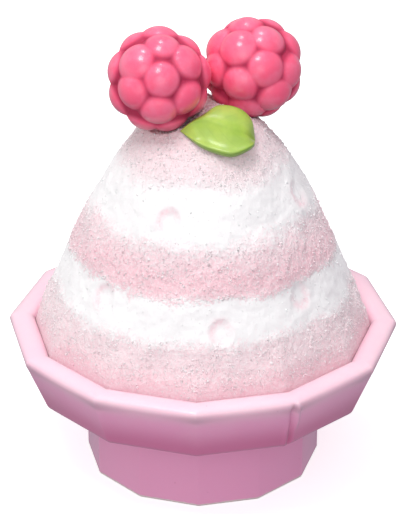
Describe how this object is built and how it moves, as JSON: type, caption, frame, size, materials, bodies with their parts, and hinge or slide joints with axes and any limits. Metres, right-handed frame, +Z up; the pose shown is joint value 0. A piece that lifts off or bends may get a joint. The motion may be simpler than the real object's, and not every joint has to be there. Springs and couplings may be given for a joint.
{
  "type": "shaved ice dessert",
  "caption": "Mound of fine shaved ice in white and raspberry syrup layers, in a footed twelve-sided bowl, topped with raspberries and a leaf.",
  "frame": {"origin": "centre of the bowl's foot, on the table", "axes": "+Z up; -Y is the serving side, with the leaf at the front, and +X is to its right"},
  "size_m": [0.1098, 0.1098, 0.1308],
  "materials": {
    "bowl_glaze": "glossy pink glaze",
    "syrup_ice": "fine grainy ice, tinted with raspberry syrup",
    "white_ice": "fine grainy white ice",
    "raspberry_skin": "glossy juicy skin",
    "leaf_green": "smooth waxy leaf"
  },
  "bodies": {
    "root": {"bowl": "bowl_glaze", "ice_syrup_base": "syrup_ice", "ice_white_lower": "white_ice", "ice_syrup_middle": "syrup_ice", "ice_white_upper": "white_ice", "ice_syrup_cap": "syrup_ice", "raspberry_left": "raspberry_skin", "raspberry_right": "raspberry_skin", "leaf": "leaf_green"}
  },
  "joints": []
}
